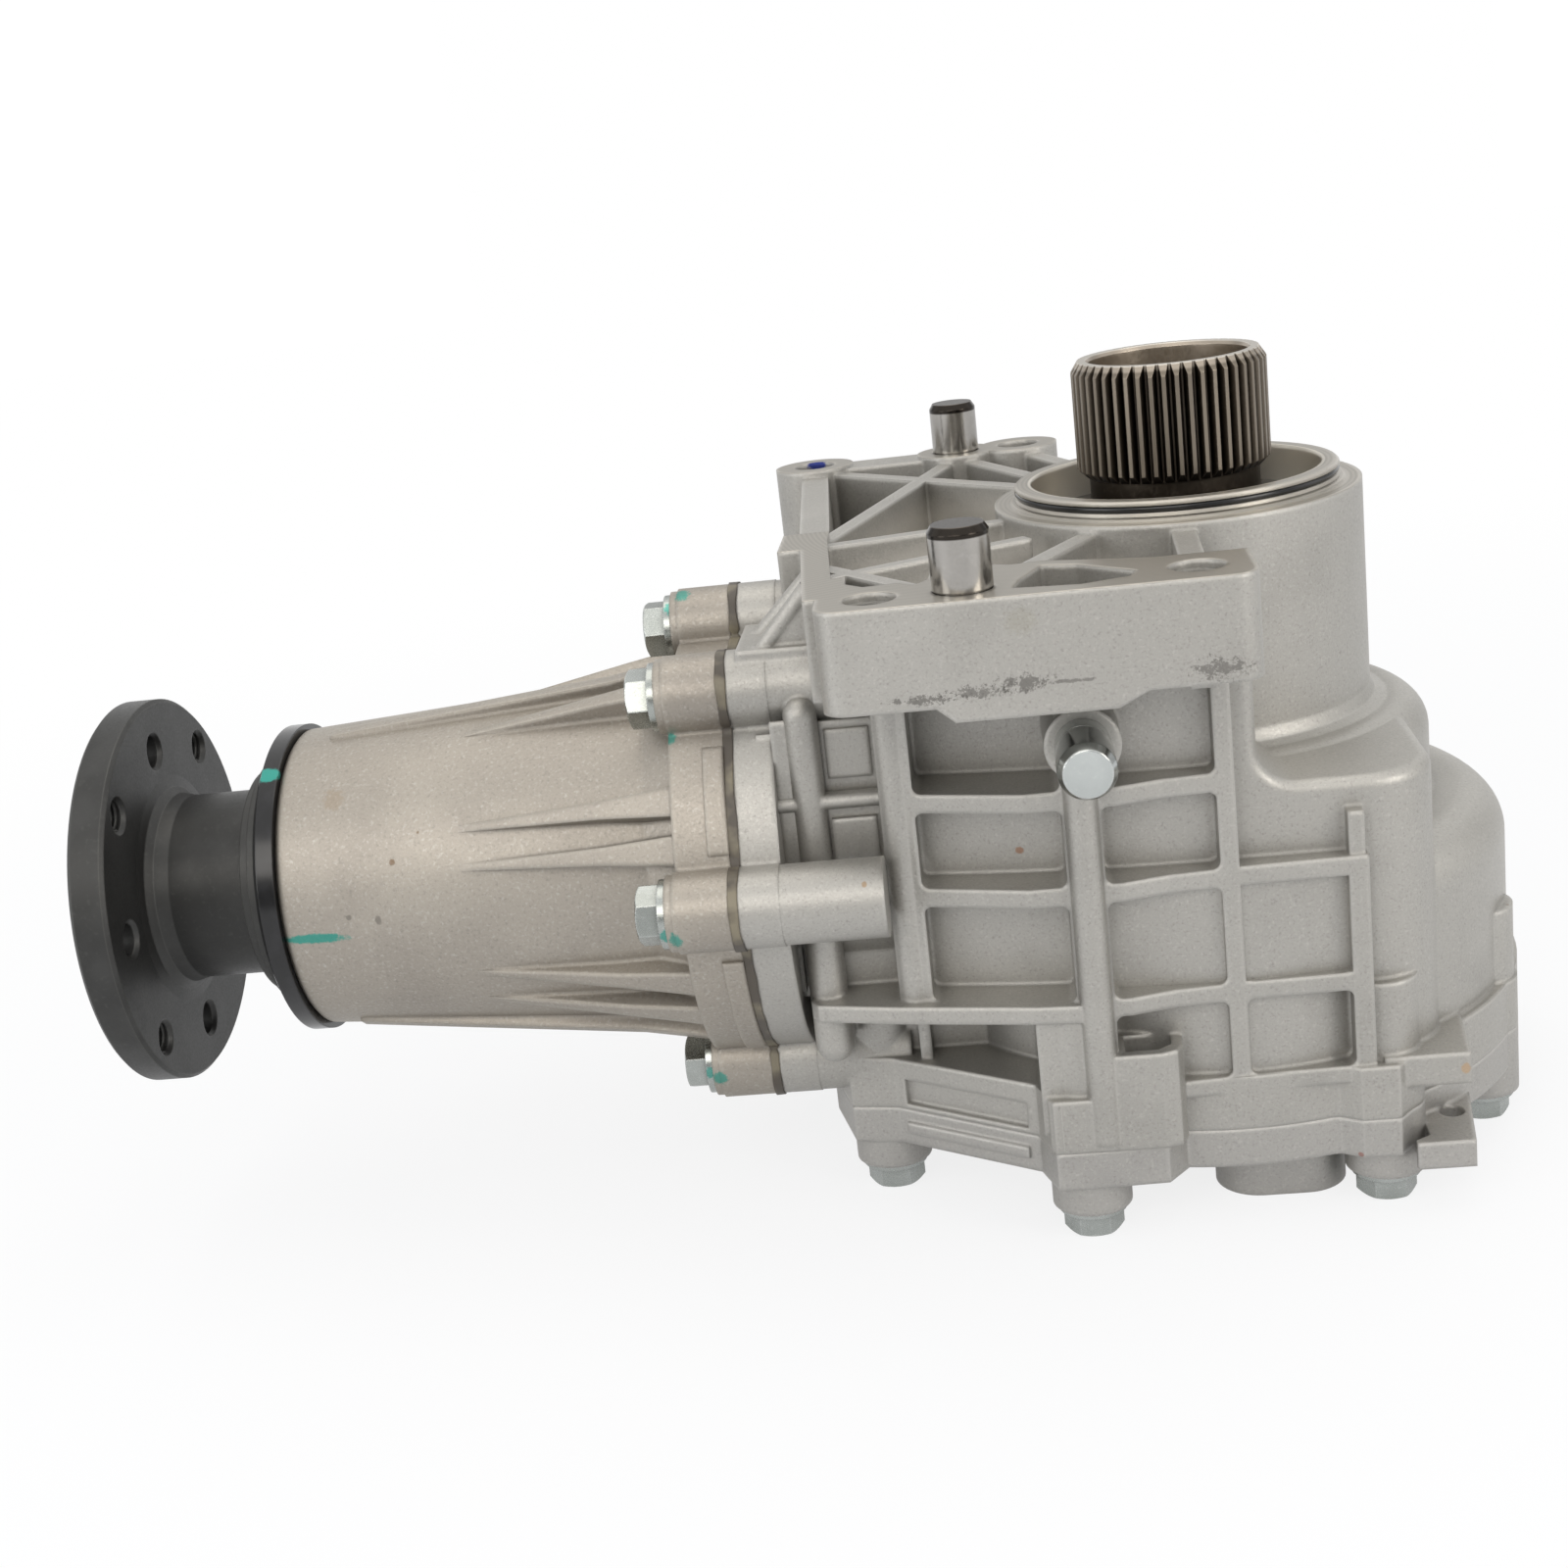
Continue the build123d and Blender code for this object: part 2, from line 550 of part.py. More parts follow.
def joint_bolt(x, y, turn):
    seat = JOINT_X - SEAM - JOINT_HOUSING_THICK - 2
    shape = Plane.XY.offset(seat - BOLT_HEAD)
    head = extrude(shape * RegularPolygon(BOLT_HEX / 2, 6, major_radius=False, rotation=turn),
                   amount=BOLT_HEAD)
    head &= turned([(0, seat), (9, seat), (9, seat - BOLT_HEAD + 1.4), (6.2, seat - BOLT_HEAD),
                    (0, seat - BOLT_HEAD)])
    head += rod(COLLAR_R, seat - COLLAR, seat)
    return PINION * Pos(x, y, 0) * (head + rod(BOLT_R, seat, JOINT_X + 20))


def dowel():
    """A ground pin with a tapered end, undercut where it meets the face."""
    neck = DOWEL_R - UNDERCUT
    return turned([(0, -DOWEL_DEPTH), (DOWEL_R, -DOWEL_DEPTH), (DOWEL_R, -UNDERCUT), (neck, -UNDERCUT),
                   (neck, UNDERCUT),
                   (DOWEL_R, UNDERCUT), (DOWEL_R, DOWEL_TOP - 1.6), (DOWEL_R - 1, DOWEL_TOP), (0, DOWEL_TOP)])


def input_shaft():
    spline = plate(toothed(SPLINE_TEETH, SPLINE_R, SPLINE_ROOT_R, 0.30, 0.84), SPLINE_BOTTOM, SPLINE_TOP)
    spline &= turned([(0, SPLINE_BOTTOM), (SPLINE_ROOT_R, SPLINE_BOTTOM), (SPLINE_R, SPLINE_BOTTOM + 2),
                      (SPLINE_R, SPLINE_TOP - 2.8),
                      (SPLINE_ROOT_R + 0.3, SPLINE_TOP), (0, SPLINE_TOP)])
    top_seat = SEAL_BORE_BOTTOM
    body = turned([(0, -160), (BEARING_SEAT_R, -160), (BEARING_SEAT_R, CARRIER_BOTTOM - 9),
                   (30, CARRIER_BOTTOM - 9),
                   (30, CARRIER_BOTTOM), (CARRIER_R, CARRIER_BOTTOM), (CARRIER_R, CARRIER_TOP),
                   (RING_BORE_R, CARRIER_TOP),
                   (RING_BORE_R, RING_SHELF_Z), (SHAFT_TUBE_R + 3, RING_SHELF_Z + 6), (SHAFT_TUBE_R, -60),
                   (SHAFT_TUBE_R, top_seat - BEARING_WIDTH), (BEARING_SEAT_R, top_seat - BEARING_WIDTH),
                   (BEARING_SEAT_R, top_seat), (SEAL_LAND_R, top_seat), (SEAL_LAND_R, SPLINE_BOTTOM),
                   (0, SPLINE_BOTTOM)])
    body += spline
    body -= turned([(0, -161), (SHAFT_BORE_R, -161), (SHAFT_BORE_R, SPLINE_TOP - 9),
                    (SHAFT_MOUTH_R, SPLINE_TOP - 7),
                    (SHAFT_MOUTH_R, SPLINE_TOP - 1), (SHAFT_MOUTH_R + 1, SPLINE_TOP + 1),
                    (0, SPLINE_TOP + 1)])
    for spot in PolarLocations(RING_BOLT_CIRCLE_R, RING_BOLTS):
        body -= spot * Pos(0, 0, CARRIER_TOP) * Cylinder(BOLT_R + HOLE_FIT, 30)
    return body


def ring_groove():
    """One straight tooth space, drawn to the shared apex and laid along the pinion axis."""
    ends = []
    for reach in (FACE_IN - 8, FACE_OUT + 6):
        drop = reach * PITCH_SLOPE
        pitch = 2 * math.pi * reach / RING_TEETH
        over = PINION_Z - drop + 0.12 * reach
        root = PINION_Z - drop - 0.085 * reach
        line = Polyline((-reach, PINION_Y - 0.21 * pitch, root), (-reach, PINION_Y - 0.45 * pitch, over),
                        (-reach, PINION_Y + 0.45 * pitch, over), (-reach, PINION_Y + 0.21 * pitch, root),
                        close=True)
        ends.append(make_face(line))
    return loft(ends, ruled=True)


def ring_gear():
    tip_slope = PITCH_SLOPE - 0.042
    outer_drop = math.sqrt(RING_OUT_R**2 - PINION_Y**2) * tip_slope
    inner_drop = math.sqrt(RING_SHELF_R**2 - PINION_Y**2) * tip_slope
    body = turned([(RING_BORE_R, CARRIER_TOP), (RING_OUT_R - 6, CARRIER_TOP), (RING_OUT_R, CARRIER_TOP + 6),
                   (RING_OUT_R, PINION_Z - outer_drop), (RING_SHELF_R, PINION_Z - inner_drop),
                   (RING_SHELF_R, RING_SHELF_Z), (RING_BORE_R, RING_SHELF_Z)])
    groove = ring_groove()
    body -= [Rot(0, 0, (i + 0.5) * 360 / RING_TEETH) * groove for i in range(RING_TEETH)]
    for spot in PolarLocations(RING_BOLT_CIRCLE_R, RING_BOLTS):
        body -= spot * Pos(0, 0, CARRIER_TOP) * Cylinder(BOLT_R, 14)
    return body


def ring_bolt(spot):
    head = Plane.XY.offset(CARRIER_BOTTOM - 6) * RegularPolygon(BOLT_HEX / 2, 6, major_radius=False)
    return spot * (extrude(head, amount=6) + rod(BOLT_R, CARRIER_BOTTOM, CARRIER_TOP + 6))


def pinion_head():
    ends = []
    for reach in (FACE_OUT, FACE_IN):
        tip = reach * PITCH_SLOPE + 0.042 * reach
        root = reach * PITCH_SLOPE - 0.055 * reach
        points = toothed(PINION_TEETH, tip, root, 0.20, 0.47, -90 + 180 / PINION_TEETH)
        ends.append(make_face(Polyline(*[(x, y, -reach) for x, y in points], close=True)))
    return loft(ends, ruled=True)


def pinion_shaft():
    body = pinion_head()
    root = FACE_OUT * (PITCH_SLOPE - 0.055)
    body += turned([(0, -FACE_OUT), (root, -FACE_OUT), (root, HEAD_BACK_X), (HEAD_SEAT_R, HEAD_BACK_X),
                    (HEAD_SEAT_R, HEAD_BACK_X - SHIM - HEAD_BEARING_WIDTH), (TAIL_SEAT_R + 0.6, -106),
                    (TAIL_SEAT_R, TAIL_SEAT_X + 20), (TAIL_SEAT_R, TAIL_SEAT_X), (STEM_R, TAIL_SEAT_X),
                    (STEM_R, -272), (THREAD_R, -274), (THREAD_R, STEM_END_X + 1),
                    (THREAD_R - 1, STEM_END_X), (0, STEM_END_X)])
    return PINION * body


def companion_flange():
    face = FLANGE_FACE_X
    outer = face - FLANGE_THICK
    body = turned([(0, outer), (FLANGE_R - 1, outer), (FLANGE_R, outer + 1), (FLANGE_R, face - 1),
                   (FLANGE_R - 1, face),
                   (HUB_R + 6, face), (HUB_R + 2.8, face + 0.6), (HUB_R + 0.9, face + 2.4), (HUB_R, face + 6),
                   (HUB_R, -226), (21, -225), (21, TAIL_SEAT_X),
                   (0, TAIL_SEAT_X)])
    body -= rod(STEM_R, -276, TAIL_SEAT_X + 1)
    body -= rod(19, outer - 1, -274)
    for circle, radius, start in ((FLANGE_PLAIN_CIRCLE_R, FLANGE_PLAIN_R, 0),
                                  (FLANGE_TAPPED_CIRCLE_R, FLANGE_TAPPED_R, 45)):
        for spot in PolarLocations(circle, 4, start_angle=start):
            body -= spot * Pos(0, 0, face - 5) * Cylinder(radius, 20)
            body -= spot * Pos(0, 0, face - 0.5) * Cone(radius, radius + 1, 1)
    return PINION * body


def pinion_nut():
    shape = Plane.XY.offset(-282)
    body = extrude(shape * RegularPolygon(15, 6, major_radius=False), amount=8)
    return PINION * (body - rod(THREAD_R, -290, -270))


def dust_deflector():
    body = turned([(HUB_R, -250), (HUB_R + 5, -250), (HUB_R + 5, -247), (33, -247), (33, -244.2),
                   (HUB_R, -244.2)])
    return PINION * body


def pinion_oil_seal():
    end = HOUSING_END_X
    body = turned([(HUB_R + 3, -243.4), (38, -243.4), (41.5, -241.5), (41.5, end), (SEAL_POCKET_R, end),
                   (SEAL_POCKET_R, end + 8),
                   (31, end + 8), (31, end - 1), (HUB_R + 3, end - 1), (HUB_R + RUN, end + 4),
                   (HUB_R + RUN, end + 1.5),
                   (HUB_R + 1.5, end - 3)])
    return PINION * body


def ball_bearing(low, place=Location()):
    """Inner race, balls and outer race, from the lower face up."""
    middle = low + BEARING_WIDTH / 2
    track = (BEARING_SEAT_R + BEARING_R) / 2
    high = low + BEARING_WIDTH
    inner = tube(track - RACE_LAND, BEARING_SEAT_R, low, high) - Pos(0, 0, middle) * Torus(track, BALL_R)
    outer = tube(BEARING_R, track + RACE_LAND, low, high) - Pos(0, 0, middle) * Torus(track, BALL_R + RUN)
    balls = [spot * Pos(0, 0, middle) * Sphere(BALL_R) for spot in PolarLocations(track, BALLS)]
    return [place * p for p in (inner, Compound(children=balls), outer)]


def taper_bearing(seat, outside, width, low, lean):
    """Inner race, rollers and outer race along the pinion axis; lean is +1 or -1."""
    middle = low + width / 2
    track = (seat + outside) / 2
    radius = (outside - seat) * 0.2
    slope = math.tan(math.radians(13)) * lean
    gap = radius / math.cos(math.radians(13))
    half = width / 2

    def at(s, offset):
        return track + slope * (s - middle) + offset

    inner = turned([(seat, low), (at(low, -gap), low), (at(low + width, -gap), low + width),
                    (seat, low + width)])
    outer = turned([(outside, low), (at(low, gap + RUN), low), (at(low + width, gap + RUN), low + width),
                    (outside, low + width)])
    count = int(2 * math.pi * track / (2 * radius + 2.2))
    rollers = [
        spot * Pos(0, 0, middle) * Rot(0, 13 * lean, 0) * Cylinder(radius, 2 * half - 5)
        for spot in PolarLocations(track, count)
    ]
    return [PINION * p for p in (inner, Compound(children=rollers), outer)]


def lip_seal(outside, lip, low, high):
    return turned([(outside, low), (outside, high), (lip + 2, high), (lip + RUN, high - 2),
                   (lip + RUN, high - 4),
                   (lip + 2.5, high - 5), (lip + 2.5, high - 3), (outside - 2, high - 2), (outside - 2, low)])


def save(name, shape):
    export_step(shape, f"parts/{name}.step")


save("main_case", main_case())
save("pinion_housing", pinion_housing())
save("case_cover", case_cover())
save("joint_sealant", seam_ring())
save("spigot_o_ring", Pos(0, 0, O_RING_Z) * Torus(O_RING_CENTRE_R, O_RING_R))
save("dowel_pins", Compound(children=[Pos(*spot) * dowel() for spot in (FRONT_DOWEL, BACK_DOWEL)]))
save("pinion_housing_bolts",
     Compound(children=[joint_bolt(x, y, 11 * i) for i, (x, y) in enumerate(joint_spots())]))
save("cover_bolts", Compound(children=[cover_bolt(s) for s in COVER_BOLT_SPOTS]))

save("input_shaft", input_shaft())
save("ring_gear", ring_gear())
save("ring_gear_bolts",
     Compound(children=[ring_bolt(s) for s in PolarLocations(RING_BOLT_CIRCLE_R, RING_BOLTS)]))
for name, low in (("input_top_bearing", SEAL_BORE_BOTTOM - BEARING_WIDTH), ("input_bottom_bearing", -160.0)):
    inner, balls, outer = ball_bearing(low)
    save(name + "_inner", inner)
    save(name + "_balls", balls)
    save(name + "_outer", outer)
save("driveshaft_oil_seal",
     tube(DRIVE_SEAL_R, SHAFT_BORE_R + 0.8, COVER_FLOOR_Z, COVER_FLOOR_Z + DRIVE_SEAL_DEPTH - 1)
     - turned([(0, -162), (26, -162), (SHAFT_BORE_R + 2.5, -165.5), (0, -165.5)]))
save("input_oil_seal", lip_seal(SPIGOT_BORE_R, SEAL_LAND_R, -15, -5))

save("pinion_shaft", pinion_shaft())
save("companion_flange", companion_flange())
save("pinion_nut", pinion_nut())
save("dust_deflector", dust_deflector())
save("pinion_oil_seal", pinion_oil_seal())
save("pinion_shim", tube(24, HEAD_SEAT_R, HEAD_BACK_X - SHIM, HEAD_BACK_X, PINION))
head_low = HEAD_BACK_X - SHIM - HEAD_BEARING_WIDTH
for name, seat, outside, width, low, lean in (
    ("pinion_head_bearing", HEAD_SEAT_R, TUNNEL_R, HEAD_BEARING_WIDTH, head_low, 1),
    ("pinion_tail_bearing", TAIL_SEAT_R, TAIL_BORE_R, TAIL_BEARING_WIDTH, TAIL_SEAT_X, -1),
):
    inner, rollers, outer = taper_bearing(seat, outside, width, low, lean)
    save(name + "_inner", inner)
    save(name + "_rollers", rollers)
    save(name + "_outer", outer)
save("collapsible_spacer", turned([
    (TAIL_SEAT_R + 1, TAIL_SEAT_X + TAIL_BEARING_WIDTH), (19, TAIL_SEAT_X + TAIL_BEARING_WIDTH), (19, -160),
    (21.5, -152),
    (19, -144), (19, -112), (21, -108), (21, head_low), (TAIL_SEAT_R + 3.2, head_low),
    (TAIL_SEAT_R + 3.2, -107),
    (TAIL_SEAT_R + 1, -111)], PINION))

breather = Location(Plane(origin=(-32, 0, -41), x_dir=(1, 0, 0), z_dir=(0, -1, 0)))
save("breather_stem",
     turned([(0, 72), (5, 72), (5, 90), (6.6, 90), (6.6, 96), (4, 96), (4, 104), (0, 104)], breather))
save("breather_cap",
     turned([(4, 97), (6.8, 97), (6.8, 110), (5.6, 112.5), (0, 112.5), (0, 104), (4, 104)], breather))
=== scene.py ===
import math

import bmesh
import bpy
from mathutils import Matrix, Vector, noise


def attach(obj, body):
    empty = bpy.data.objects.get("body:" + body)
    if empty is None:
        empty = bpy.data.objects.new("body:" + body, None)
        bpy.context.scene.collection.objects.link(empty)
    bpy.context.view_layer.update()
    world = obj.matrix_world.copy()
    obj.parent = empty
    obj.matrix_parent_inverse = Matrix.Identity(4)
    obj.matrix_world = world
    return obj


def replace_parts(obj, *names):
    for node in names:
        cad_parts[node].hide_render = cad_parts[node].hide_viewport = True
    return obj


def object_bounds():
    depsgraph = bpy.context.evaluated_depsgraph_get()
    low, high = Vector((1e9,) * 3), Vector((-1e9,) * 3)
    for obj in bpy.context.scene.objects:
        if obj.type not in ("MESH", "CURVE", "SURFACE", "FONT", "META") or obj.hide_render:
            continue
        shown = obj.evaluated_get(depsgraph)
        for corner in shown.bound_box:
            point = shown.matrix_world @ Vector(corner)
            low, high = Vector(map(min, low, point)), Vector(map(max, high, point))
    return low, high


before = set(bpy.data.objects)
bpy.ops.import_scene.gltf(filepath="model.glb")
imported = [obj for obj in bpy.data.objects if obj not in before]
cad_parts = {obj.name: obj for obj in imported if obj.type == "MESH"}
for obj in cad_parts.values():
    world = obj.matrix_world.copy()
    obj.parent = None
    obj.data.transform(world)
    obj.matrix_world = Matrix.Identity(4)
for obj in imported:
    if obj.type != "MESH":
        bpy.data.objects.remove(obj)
cad_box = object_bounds()
MM = 0.001


def colour(code):
    """An sRGB hex value as linear red, green, blue and alpha."""
    parts = [int(code[i:i + 2], 16) / 255 for i in (1, 3, 5)]
    return [p / 12.92 if p <= 0.04045 else ((p + 0.055) / 1.055) ** 2.4 for p in parts] + [1.0]


def put(tree, kind, inputs, **settings):
    """Adds one node with its settings, joins or sets its inputs, and returns its outputs."""
    node = tree.nodes.new("ShaderNode" + kind)
    for name, value in settings.items():
        setattr(node, name, value)
    for socket, value in inputs.items():
        if isinstance(value, bpy.types.NodeSocket):
            tree.links.new(value, node.inputs[socket])
        else:
            node.inputs[socket].default_value = colour(value) if isinstance(value, str) else value
    return node.outputs


def start(name, metallic, roughness):
    """A new material, its tree, its shader's inputs and the object coordinates."""
    material = bpy.data.materials.new(name)
    material.use_nodes = True
    tree = material.node_tree
    shader = tree.nodes["Principled BSDF"]
    shader.inputs["Metallic"].default_value = metallic
    shader.inputs["Roughness"].default_value = roughness
    return material, tree, shader.inputs, put(tree, "TexCoord", {})["Object"]


def clouded(tree, place, base, size_mm, low, high, code, strength=1.0):
    """Lays a colour over the base where noise of that size lies between low and high."""
    cloud = put(tree, "TexNoise", {"Vector": place, "Scale": 1000 / size_mm, "Detail": 3.0})["Fac"]
    share = put(tree, "MapRange", {"Value": cloud, "From Min": low, "From Max": high,
                                   "To Max": strength})["Result"]
    return put(tree, "Mix", {0: share, 6: base, 7: code}, data_type="RGBA")[2]


# A blotch at the edge of a daub is about 1.6 mm wide.
BLOTCH_SCALE = 620.0


def daubed(tree, place, base, daubs):
    """Lays ragged patches over the base: paint, dirt, rust or rub marks. Each daub is its centre and its
    half size in millimetres, its colour, its strength and how ragged its edge is."""
    blotch = put(tree, "TexNoise", {"Vector": place, "Scale": BLOTCH_SCALE, "Detail": 6.0,
                                    "Roughness": 0.85})["Fac"]
    for centre, size, code, strength, ragged in daubs:
        shift = put(tree, "VectorMath", {0: place, 1: [c * MM for c in centre]}, operation="SUBTRACT")[0]
        scaled = put(tree, "VectorMath", {0: shift, 1: [s * MM for s in size]}, operation="DIVIDE")[0]
        reach = put(tree, "VectorMath", {0: scaled}, operation="LENGTH")["Value"]
        edge = put(tree, "Math", {0: blotch, 1: ragged, 2: reach}, operation="MULTIPLY_ADD")[0]
        share = put(tree, "MapRange", {"Value": edge, "From Min": 1.0 + ragged / 2,
                                       "From Max": 0.7 + ragged / 2, "To Max": strength})["Result"]
        base = put(tree, "Mix", {0: share, 6: base, 7: code}, data_type="RGBA")[2]
    return base


def softened(tree, radius_mm):
    """The normal with edges rounded to a radius, and a share that is 1 on an edge."""
    normal = put(tree, "Bevel", {"Radius": radius_mm * MM}, samples=6)[0]
    plain = put(tree, "NewGeometry", {})["Normal"]
    match = put(tree, "VectorMath", {0: normal, 1: plain}, operation="DOT_PRODUCT")["Value"]
    return normal, put(tree, "MapRange", {"Value": match, "From Min": 0.995, "From Max": 0.9})["Result"]


def opened(tree, reach_mm):
    """A share that is 1 on open faces and falls to 0 deep in corners and grooves."""
    light = put(tree, "AmbientOcclusion", {"Distance": reach_mm * MM}, samples=6, only_local=True)["AO"]
    return put(tree, "MapRange", {"Value": light, "From Min": 0.35, "From Max": 0.9})["Result"]


# Cast skin: dents, with pale specks painted on as their glints, a painted highlight; pits that hold dirt, and
# scattered brown specks.
CAST_METALLIC = 0.8
CAST_ROUGH = (0.42, 0.58)
CAST_EDGE_MM = 1.8
DENT_MM = 0.04
PAINTED_GLINT = "#cfccc7"
PIT = "#6e6b67"
SPECK = "#75614f"
# Cut aluminium: two tones between turning marks, a paler bore, and flatter marks than the dents.
MILLED = ("#a9a59c", "#b8b3aa")
BORED = "#dad4c8"
CUT_ROUGH = 0.33
CUT_STEP = 0.2 * MM
CUT_DEPTH = 0.25
# Paint marks, smears and rust.
TEAL = "#1f8f82"
SMEAR = "#4a4743"
RUST = "#94694a"


def cast_aluminium(name, skin, grain_mm, milled_above_mm=None, bored_within_mm=None, daubs=()):
    """Sand-cast aluminium, shot-blasted: a dull grey skin of fine dents, soft clouds of tone, pale specks
    painted on as glints, a painted highlight, corners and recesses painted darker as dirt and as painted
    shade, and edges painted paler as wear and as a painted highlight. A milled or bored face is brighter,
    with fine turning marks."""
    # The fourth tone is painted on edges as wear and as a painted highlight; the fifth is painted into
    # corners as dirt and as painted shade.
    light, middle, dark, edge_wear_and_highlight_colour, dirt_and_shade_tone = skin
    material, tree, shader, place = start(name, CAST_METALLIC, 0.5)
    normal, edge = softened(tree, CAST_EDGE_MM)
    base = clouded(tree, place, middle, 55, 0.50, 0.72, light, 0.8)
    base = clouded(tree, place, base, 32, 0.48, 0.28, dark, 0.8)
    # Pale specks painted on as glints, a painted highlight.
    base = clouded(tree, place, base, grain_mm * 1.6, 0.55, 0.78, PAINTED_GLINT, 0.35)
    base = clouded(tree, place, base, grain_mm * 1.4, 0.45, 0.24, PIT, 0.35)
    free = opened(tree, 6.0)
    # Edges painted paler, as wear and as a painted highlight.
    edge_wear_and_highlight_share = put(tree, "Math", {0: edge, 1: free}, operation="MULTIPLY")[0]
    edge_wear_and_highlight_share = put(tree, "Math", {0: edge_wear_and_highlight_share, 1: 0.5}, operation="MULTIPLY")[0]
    base = put(tree, "Mix", {0: edge_wear_and_highlight_share, 6: base, 7: edge_wear_and_highlight_colour}, data_type="RGBA")[2]
    # Corners and recesses painted darker by ambient occlusion, as dirt and as painted shade.
    dirt_and_shade_share = put(tree, "MapRange", {"Value": free, "From Min": 0.8, "From Max": 0.0,
                                   "To Max": 0.28})["Result"]
    base = put(tree, "Mix", {0: dirt_and_shade_share, 6: base, 7: dirt_and_shade_tone}, data_type="RGBA")[2]
    cell = put(tree, "TexVoronoi", {"Vector": place, "Scale": 26.0})["Distance"]
    spot = put(tree, "MapRange", {"Value": cell, "From Min": 0.016, "From Max": 0.009,
                                  "To Max": 0.55})["Result"]
    base = put(tree, "Mix", {0: spot, 6: base, 7: SPECK}, data_type="RGBA")[2]
    grain = put(tree, "TexNoise", {"Vector": place, "Scale": 1000 / grain_mm, "Detail": 2.0})["Fac"]
    rough = put(tree, "MapRange", {"Value": grain, "From Min": 0.3, "From Max": 0.7,
                                   "To Min": CAST_ROUGH[0], "To Max": CAST_ROUGH[1]})["Result"]
    depth = 1.0
    height = grain
    if milled_above_mm is not None:
        top, bore = milled_above_mm * MM, bored_within_mm * MM
        level = put(tree, "SeparateXYZ", {0: place})["Z"]
        milled = put(tree, "MapRange", {"Value": level, "From Min": top - CUT_STEP,
                                        "From Max": top})["Result"]
        flat = put(tree, "VectorMath", {0: place, 1: (1, 1, 0)}, operation="MULTIPLY")[0]
        radius = put(tree, "VectorMath", {0: flat}, operation="LENGTH")["Value"]
        bored = put(tree, "MapRange", {"Value": radius, "From Min": bore + CUT_STEP,
                                       "From Max": bore})["Result"]
        milled = put(tree, "Math", {0: milled, 1: bored}, operation="MAXIMUM")[0]
        rings = put(tree, "TexWave", {"Vector": flat, "Scale": 260.0, "Distortion": 0.4, "Detail": 1.0},
                    wave_type="RINGS", rings_direction="Z")["Fac"]
        bright = put(tree, "Mix", {0: rings, 6: MILLED[0], 7: MILLED[1]}, data_type="RGBA")[2]
        bright = put(tree, "Mix", {0: bored, 6: bright, 7: BORED}, data_type="RGBA")[2]
        base = put(tree, "Mix", {0: milled, 6: base, 7: bright}, data_type="RGBA")[2]
        rough = put(tree, "Mix", {0: milled, 2: rough, 3: CUT_ROUGH})[0]
        height = put(tree, "Mix", {0: milled, 2: grain, 3: rings})[0]
        depth = put(tree, "MapRange", {"Value": milled, "To Min": 1.0, "To Max": CUT_DEPTH})["Result"]
    base = daubed(tree, place, base, daubs)
    tree.links.new(base, shader["Base Color"])
    tree.links.new(rough, shader["Roughness"])
    bumped = put(tree, "Bump", {"Strength": depth, "Distance": DENT_MM * MM, "Height": height,
                                "Normal": normal})[0]
    tree.links.new(bumped, shader["Normal"])
    return material


def steel(name, tones, roughness, grain_mm, depth_mm, edge_mm=0.4, edge_wear_and_highlight_code=None, metallic=1.0, daubs=(),
          dirt_and_shade_tone=None, bands=()):
    """Steel: two close tones in clouds, fine texture from its finish, edges painted paler as wear and as a
    painted highlight, and, where a dark tone is given, grooves and corners painted darker as a painted shade.
    A band is a colour that fades in from one height or radius to another, in millimetres."""
    material, tree, shader, place = start(name, metallic, roughness)
    normal, edge = softened(tree, edge_mm)
    base = clouded(tree, place, tones[0], 14, 0.40, 0.64, tones[1])
    base = clouded(tree, place, base, grain_mm * 2, 0.58, 0.78, tones[2], 0.5)
    for kind, begin, end, code in bands:
        level = put(tree, "SeparateXYZ", {0: place})["Z"]
        if kind == "radius":
            flat = put(tree, "VectorMath", {0: place, 1: (1, 1, 0)}, operation="MULTIPLY")[0]
            level = put(tree, "VectorMath", {0: flat}, operation="LENGTH")["Value"]
        share = put(tree, "MapRange", {"Value": level, "From Min": begin * MM,
                                       "From Max": end * MM})["Result"]
        base = put(tree, "Mix", {0: share, 6: base, 7: code}, data_type="RGBA")[2]
    # Edges painted paler, as wear and as a painted highlight.
    if edge_wear_and_highlight_code:
        edge_wear_and_highlight_share = put(tree, "Math", {0: edge, 1: 0.55}, operation="MULTIPLY")[0]
        base = put(tree, "Mix", {0: edge_wear_and_highlight_share, 6: base, 7: edge_wear_and_highlight_code}, data_type="RGBA")[2]
    # Grooves, corners and the undersides of heads painted darker by ambient occlusion, a painted shade.
    if dirt_and_shade_tone:
        free = opened(tree, 3.0)
        dirt_and_shade_share = put(tree, "MapRange", {"Value": free, "From Min": 0.9, "From Max": 0.0,
                                       "To Max": 0.8})["Result"]
        base = put(tree, "Mix", {0: dirt_and_shade_share, 6: base, 7: dirt_and_shade_tone}, data_type="RGBA")[2]
    if daubs:
        base = daubed(tree, place, base, daubs)
    tree.links.new(base, shader["Base Color"])
    grain = put(tree, "TexNoise", {"Vector": place, "Scale": 1000 / grain_mm, "Detail": 2.0})["Fac"]
    rough = put(tree, "MapRange", {"Value": grain, "From Min": 0.3, "From Max": 0.7,
                                   "To Min": roughness - 0.04, "To Max": roughness + 0.06})["Result"]
    tree.links.new(rough, shader["Roughness"])
    bumped = put(tree, "Bump", {"Distance": depth_mm * MM, "Height": grain, "Normal": normal})[0]
    tree.links.new(bumped, shader["Normal"])
    return material


